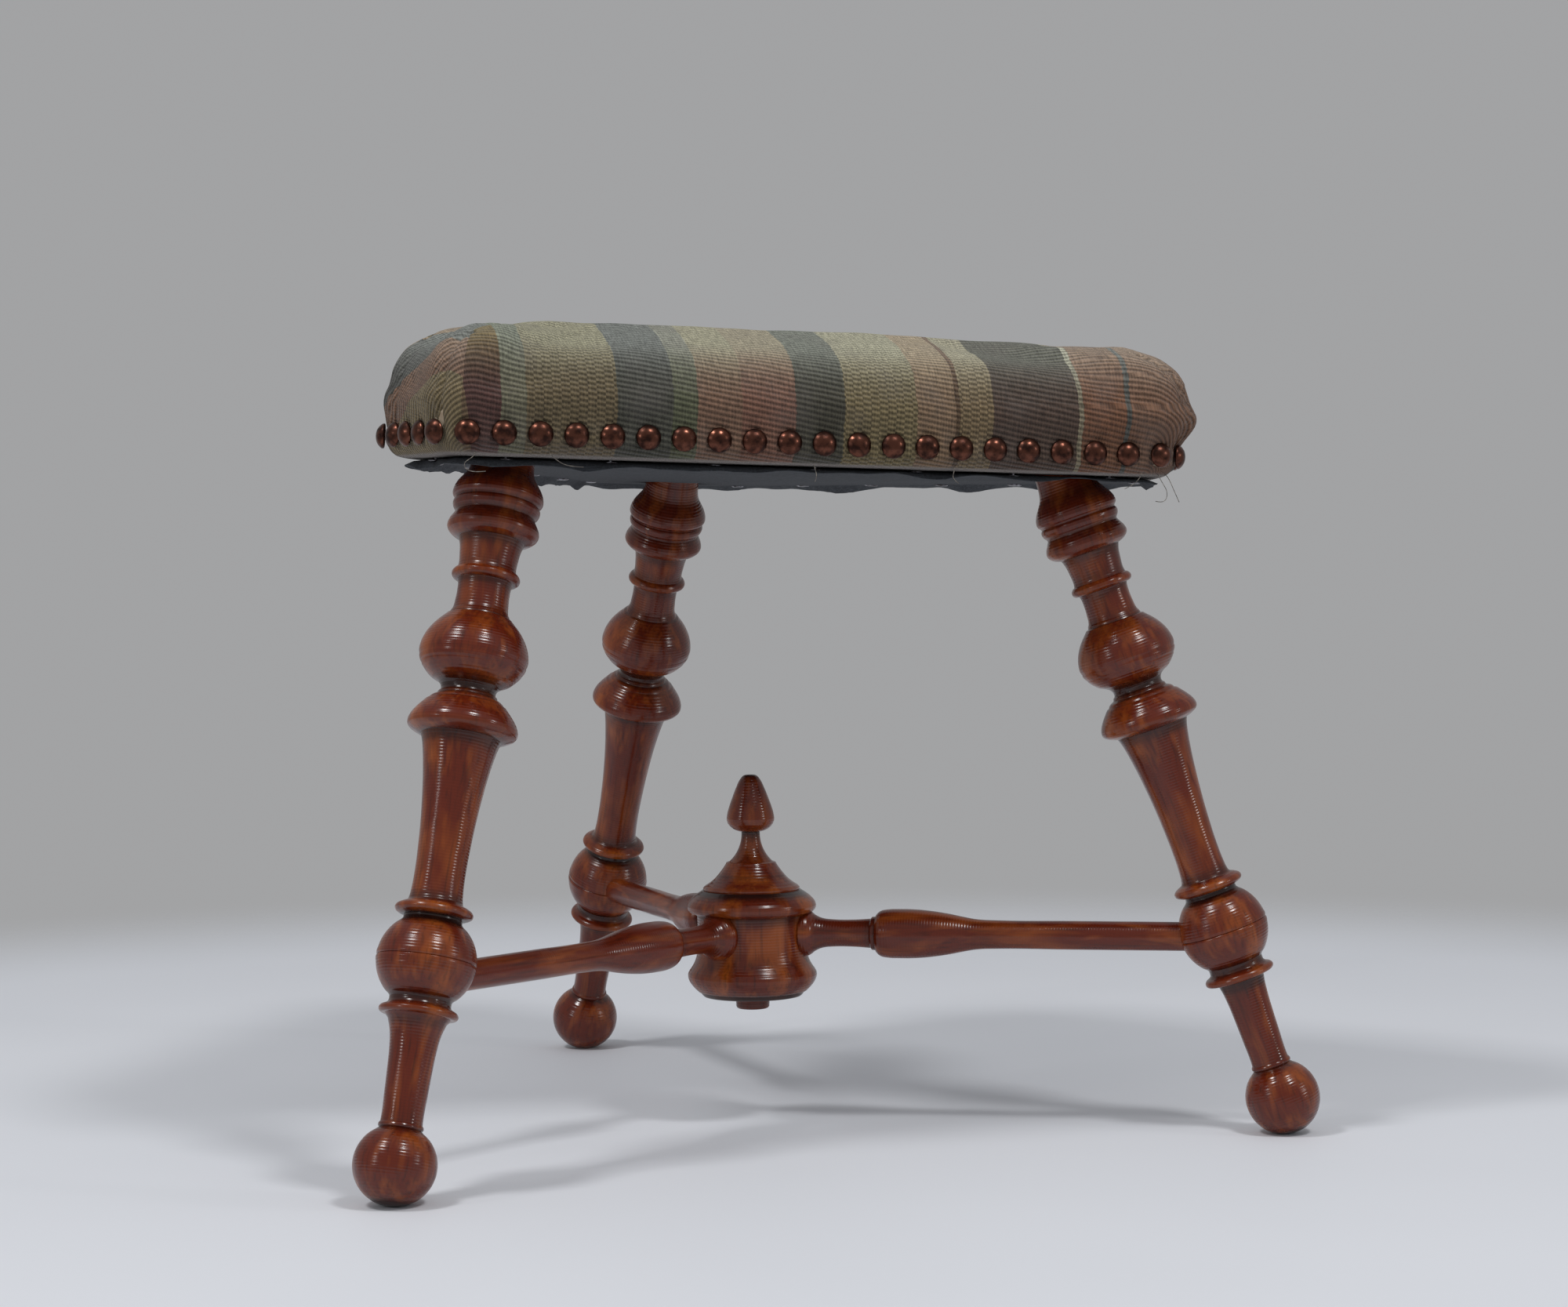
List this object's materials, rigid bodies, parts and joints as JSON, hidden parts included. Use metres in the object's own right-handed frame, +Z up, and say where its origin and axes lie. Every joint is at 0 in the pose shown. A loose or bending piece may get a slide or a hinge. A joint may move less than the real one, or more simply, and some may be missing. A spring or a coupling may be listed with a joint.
{
  "type": "footstool",
  "caption": "Three-legged footstool with raked turned legs, stretchers meeting in a hub with an acorn finial, and a padded six-sided seat in striped cloth with close nailing.",
  "frame": {"origin": "on the floor under the middle of the footprint", "axes": "+Z up, +Y from the long front side towards the single back leg, +X towards the right end of the front side, seen from the front"},
  "size_m": [0.4457, 0.4388, 0.3655],
  "materials": {
    "turned_wood": "red-brown stain under glossy varnish",
    "board_wood": "plain sawn softwood",
    "stuffing_hair": "teased hair and fibre",
    "calico": "plain unbleached calico",
    "striped_cloth": "striped woven cloth, ribbed and basket weave",
    "cambric": "thin dull black lining cloth",
    "nail_brass": "dark antique bronze",
    "tack_steel": "dull blued steel"
  },
  "bodies": {
    "root": {"seat_board": "board_wood", "stuffing": "stuffing_hair", "calico_lining": "calico", "seat_cover": "striped_cloth", "dust_cover": "cambric", "nails_front": "nail_brass", "nails_right_corner": "nail_brass", "nails_right_side": "nail_brass", "nails_back": "nail_brass", "nails_left_side": "nail_brass", "nails_left_corner": "nail_brass", "dust_cover_tacks": "tack_steel", "leg_front_left": "turned_wood", "tenon_wedge_front_left": "board_wood", "leg_front_right": "turned_wood", "tenon_wedge_front_right": "board_wood", "leg_back": "turned_wood", "tenon_wedge_back": "board_wood", "stretcher_front_left": "turned_wood", "stretcher_front_right": "turned_wood", "stretcher_back": "turned_wood", "hub_block": "turned_wood", "finial": "turned_wood", "hub_button": "turned_wood"}
  },
  "joints": []
}
